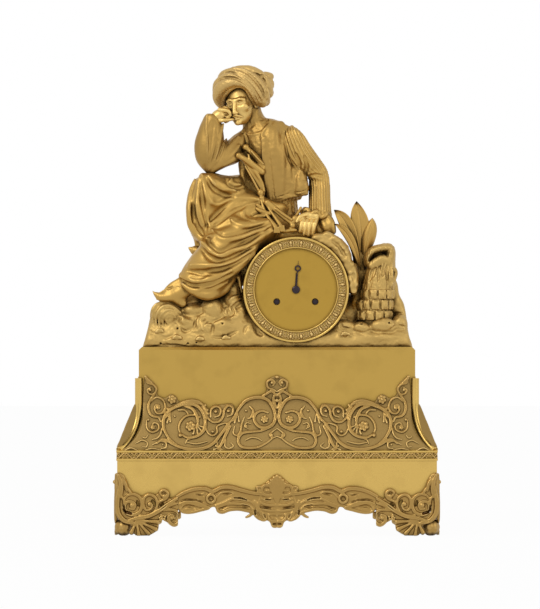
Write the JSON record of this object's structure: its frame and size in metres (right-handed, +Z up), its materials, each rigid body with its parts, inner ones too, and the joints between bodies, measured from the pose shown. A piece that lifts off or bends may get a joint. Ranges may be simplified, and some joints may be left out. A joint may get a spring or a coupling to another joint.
{
  "type": "figural mantel clock",
  "caption": "Gilt-bronze mantel clock: a seated turbaned figure leans on the round clock drum above a two-tier flared plinth with scrollwork, pierced apron and scroll feet.",
  "frame": {"origin": "middle of the footprint, on the surface the clock stands on", "axes": "+X to the right of the dial, -Y out of the dial towards the viewer, +Z up"},
  "size_m": [0.384, 0.166, 0.5491],
  "materials": {
    "gilt_bronze": "mercury gilding, part matt and part burnished",
    "brass": "lacquered clock brass",
    "blued_steel": "dark polished steel",
    "bell_metal": "turned bell metal"
  },
  "bodies": {
    "clock": {"back_plate": "brass", "ball_feet": "gilt_bronze", "band_mouldings": "gilt_bronze", "bell": "bell_metal", "bell_stand": "blued_steel", "bezel": "gilt_bronze", "corner_brackets": "gilt_bronze", "corner_ribs": "gilt_bronze", "deck_plate": "gilt_bronze", "dial_plate": "gilt_bronze", "drum_case": "gilt_bronze", "drum_cloth": "gilt_bronze", "figure_head": "gilt_bronze", "figure_left_hand": "gilt_bronze", "figure_left_shoe": "gilt_bronze", "figure_left_sleeve": "gilt_bronze", "figure_pistols": "gilt_bronze", "figure_right_hand": "gilt_bronze", "figure_right_shoe": "gilt_bronze", "figure_right_sleeve": "gilt_bronze", "figure_sabre": "gilt_bronze", "figure_torso": "gilt_bronze", "figure_trousers": "gilt_bronze", "figure_turban": "gilt_bronze", "front_apron": "gilt_bronze", "front_plate": "brass", "front_scrolls": "gilt_bronze", "hinge_pin": "blued_steel", "lower_back_plate": "gilt_bronze", "lower_front_plate": "gilt_bronze", "lower_side_plates": "gilt_bronze", "palm_leaves": "gilt_bronze", "palm_stump": "gilt_bronze", "pillars": "brass", "rear_ring": "brass", "rock_base": "gilt_bronze", "side_aprons": "gilt_bronze", "side_scrolls": "gilt_bronze", "straps": "brass", "suspension_cock": "brass", "tie_rods": "blued_steel", "top_plate": "gilt_bronze", "upper_back_panel": "gilt_bronze", "upper_front_panel": "gilt_bronze", "upper_side_panels": "gilt_bronze"},
    "minute_hand": {"minute_hand": "blued_steel"},
    "hour_hand": {"hour_hand": "blued_steel"},
    "motion_wheel": {"motion_wheel": "brass"},
    "centre_wheel": {"centre_wheel": "brass"},
    "second_wheel": {"second_wheel": "brass"},
    "third_wheel": {"third_wheel": "brass"},
    "escape_wheel": {"escape_wheel": "brass"},
    "going_barrel": {"going_barrel": "brass"},
    "going_winding_arbor": {"going_winding_arbor": "blued_steel"},
    "strike_barrel": {"strike_barrel": "brass"},
    "strike_winding_arbor": {"strike_winding_arbor": "blued_steel"},
    "anchor": {"anchor": "blued_steel"},
    "pendulum": {"pendulum": "brass"},
    "hammer": {"hammer": "blued_steel"},
    "rear_door": {"rear_door": "brass"}
  },
  "joints": [
    {"name": "minute_hand_turn", "type": "hinge", "parent": "clock", "child": "minute_hand", "pos_m": [0.0222, 0, 0.287], "axis": [0, 1, 0], "continuous": true},
    {"name": "hour_hand_turn", "type": "hinge", "parent": "clock", "child": "hour_hand", "pos_m": [0.0222, 0, 0.287], "axis": [0, 1, 0], "continuous": true},
    {"name": "motion_wheel_turn", "type": "hinge", "parent": "clock", "child": "motion_wheel", "pos_m": [0.0282, 0, 0.29739], "axis": [0, 1, 0], "continuous": true},
    {"name": "centre_wheel_turn", "type": "hinge", "parent": "clock", "child": "centre_wheel", "pos_m": [0.0222, 0, 0.287], "axis": [0, 1, 0], "continuous": true},
    {"name": "second_wheel_turn", "type": "hinge", "parent": "clock", "child": "second_wheel", "pos_m": [0.03814, 0, 0.29456], "axis": [0, 1, 0], "continuous": true},
    {"name": "third_wheel_turn", "type": "hinge", "parent": "clock", "child": "third_wheel", "pos_m": [0.01023, 0, 0.29947], "axis": [0, 1, 0], "continuous": true},
    {"name": "escape_wheel_turn", "type": "hinge", "parent": "clock", "child": "escape_wheel", "pos_m": [0.0222, 0, 0.309], "axis": [0, 1, 0], "continuous": true},
    {"name": "going_barrel_turn", "type": "hinge", "parent": "clock", "child": "going_barrel", "pos_m": [0.0447, 0, 0.273], "axis": [0, 1, 0], "continuous": true},
    {"name": "going_winding_turn", "type": "hinge", "parent": "clock", "child": "going_winding_arbor", "pos_m": [0.0447, 0, 0.273], "axis": [0, 1, 0], "continuous": true},
    {"name": "strike_barrel_turn", "type": "hinge", "parent": "clock", "child": "strike_barrel", "pos_m": [-0.0003, 0, 0.273], "axis": [0, 1, 0], "continuous": true},
    {"name": "strike_winding_turn", "type": "hinge", "parent": "clock", "child": "strike_winding_arbor", "pos_m": [-0.0003, 0, 0.273], "axis": [0, 1, 0], "continuous": true},
    {"name": "pendulum_swing", "type": "hinge", "parent": "clock", "child": "pendulum", "pos_m": [0.0222, 0, 0.322], "axis": [0, 1, 0], "range_deg": [-4, 4]},
    {"name": "anchor_rock", "type": "hinge", "parent": "clock", "child": "anchor", "pos_m": [0.0222, 0, 0.322], "axis": [0, 1, 0], "range_deg": [-4, 4]},
    {"name": "hammer_lift", "type": "hinge", "parent": "clock", "child": "hammer", "pos_m": [-0.01098, 0, 0.30086], "axis": [0, -1, 0], "range_deg": [0, 18], "stiffness_Nm_per_rad": 0.004},
    {"name": "rear_door_swing", "type": "hinge", "parent": "clock", "child": "rear_door", "pos_m": [0.0841, 0.04015, 0.287], "axis": [0, 0, -1], "range_deg": [0, 110]}
  ],
  "couplings": [
    {"joint": "motion_wheel_turn", "follows": "minute_hand_turn", "ratio": -0.33333},
    {"joint": "hour_hand_turn", "follows": "minute_hand_turn", "ratio": 0.083333},
    {"joint": "second_wheel_turn", "follows": "centre_wheel_turn", "ratio": -0.16667},
    {"joint": "going_barrel_turn", "follows": "centre_wheel_turn", "ratio": 0.027778},
    {"joint": "third_wheel_turn", "follows": "centre_wheel_turn", "ratio": -12},
    {"joint": "escape_wheel_turn", "follows": "centre_wheel_turn", "ratio": 133.71},
    {"joint": "anchor_rock", "follows": "pendulum_swing", "ratio": 1}
  ]
}
